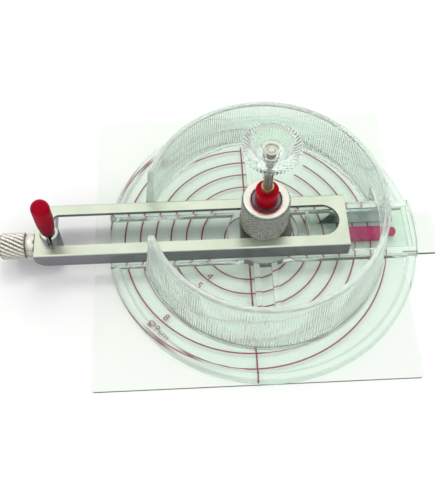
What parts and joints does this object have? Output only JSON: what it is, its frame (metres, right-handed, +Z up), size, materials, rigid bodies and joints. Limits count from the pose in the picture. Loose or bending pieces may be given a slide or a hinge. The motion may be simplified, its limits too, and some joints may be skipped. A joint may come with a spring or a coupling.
{
  "type": "circle template",
  "caption": "Square clear template plate printed with circles, carrying a turning circle cutter with ribbed grip ring, slotted arm, capped blade, clamp nut and sprung centre needle.",
  "frame": {"origin": "centre of the template plate's underside", "axes": "+Z up, +X along the arm away from the blade, +Y away from the user"},
  "size_m": [0.1406, 0.1, 0.0522],
  "materials": {
    "template_clear": "clear sheet, polished",
    "base_clear": "clear moulding, polished",
    "ring_clear": "clear moulding, finely ribbed",
    "knob_clear": "clear moulding, finely ribbed",
    "dark_steel": "oiled",
    "brass_block": "plain",
    "brass": "satin",
    "nickel_knurled": "diamond knurled, satin",
    "satin_nickel": "satin",
    "polished_steel": "ground",
    "spring_steel": "drawn",
    "blade_steel": "ground",
    "red_plastic": "glossy",
    "red_vinyl": "soft, slightly glossy"
  },
  "bodies": {
    "plate": {"template_plate": "template_clear"},
    "base": {"base_disc": "base_clear", "grip_ring": "ring_clear", "centre_post": "dark_steel", "guide_block": "brass_block", "needle_collar": "red_plastic", "needle_sleeve": "brass", "spare_case": "red_plastic", "spare_blade": "blade_steel", "storage_lid": "base_clear", "return_spring": "spring_steel"},
    "clamp_lift": {"nut_washer": "dark_steel"},
    "clamp": {"clamp_nut": "nickel_knurled"},
    "press": {"spring_seat": "polished_steel"},
    "needle": {"needle_shaft": "polished_steel", "needle_point": "polished_steel", "press_knob": "knob_clear", "knob_rivet": "polished_steel"},
    "arm": {"arm_channel": "satin_nickel", "blade_holder": "satin_nickel"},
    "shoe": {"pressure_shoe": "dark_steel"},
    "screw": {"thumb_screw": "nickel_knurled"},
    "blade": {"blade": "blade_steel"},
    "cap": {"blade_cap": "red_vinyl"}
  },
  "joints": [
    {"name": "base_turn", "type": "hinge", "parent": "plate", "child": "base", "pos_m": [0.0048, 0, 0.0011], "axis": [0, 0, 1], "continuous": true},
    {"name": "arm_slide", "type": "slide", "parent": "base", "child": "arm", "axis": [1, 0, 0], "range_m": [-0.0128, 0.054]},
    {"name": "nut_lift", "type": "slide", "parent": "base", "child": "clamp_lift", "axis": [0, 0, 1], "range_m": [0, 0.003]},
    {"name": "nut_turn", "type": "hinge", "parent": "clamp_lift", "child": "clamp", "pos_m": [0.0048, 0, 0.0122], "axis": [0, 0, 1], "range_deg": [0, 1080]},
    {"name": "knob_press", "type": "slide", "parent": "base", "child": "press", "axis": [0, 0, 1], "range_m": [-0.003, 0], "stiffness_N_per_m": 250, "springref_m": 0.004, "deforming": ["return_spring"]},
    {"name": "knob_spin", "type": "hinge", "parent": "press", "child": "needle", "pos_m": [0.0048, 0, 0.0402], "axis": [0, 0, 1], "continuous": true},
    {"name": "shoe_advance", "type": "slide", "parent": "arm", "child": "shoe", "axis": [1, 0, 0], "range_m": [-0.0015, 0]},
    {"name": "screw_turn", "type": "hinge", "parent": "shoe", "child": "screw", "pos_m": [-0.0699, -0.0031, 0.0082], "axis": [1, 0, 0], "range_deg": [-1080, 0]},
    {"name": "blade_draw", "type": "slide", "parent": "arm", "child": "blade", "axis": [0, 0, 1], "range_m": [0, 0.0105]},
    {"name": "cap_pull", "type": "slide", "parent": "blade", "child": "cap", "axis": [0, 0, 1], "range_m": [0, 0.013]}
  ],
  "couplings": [
    {"joint": "nut_turn", "follows": "nut_lift", "rad_per_m": 6283},
    {"joint": "screw_turn", "follows": "shoe_advance", "rad_per_m": 12566}
  ]
}
